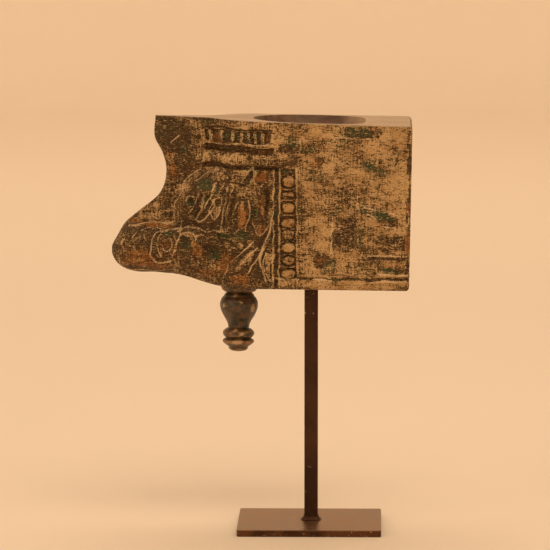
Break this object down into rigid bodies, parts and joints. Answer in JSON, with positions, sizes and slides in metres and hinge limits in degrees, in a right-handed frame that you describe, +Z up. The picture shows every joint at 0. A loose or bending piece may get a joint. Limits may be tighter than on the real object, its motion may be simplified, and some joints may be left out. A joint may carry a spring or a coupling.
{
  "type": "carved wooden bracket",
  "caption": "Carved and painted wooden bracket with a scrolled nose, petalled bell and turned drop, held up by a square steel bar on a flat plate.",
  "frame": {"origin": "centre of the plate's underside, on the floor", "axes": "+Z up along the bar; the arm of the bracket points to -X; the carved front faces -Y"},
  "size_m": [0.2671, 0.118, 0.3693],
  "materials": {
    "worn_painted_wood": "bare wood with worn old paint, matt",
    "dark_turned_wood": "dark old paint rubbed thin, low sheen",
    "blackened_steel_bar": "blackened and waxed, satin",
    "blackened_steel_plate": "blackened and waxed, satin"
  },
  "bodies": {
    "root": {"carved_bracket": "worn_painted_wood", "turned_drop": "dark_turned_wood", "stand_bar": "blackened_steel_bar", "foot_weld": "blackened_steel_bar", "stand_plate": "blackened_steel_plate"}
  },
  "joints": []
}
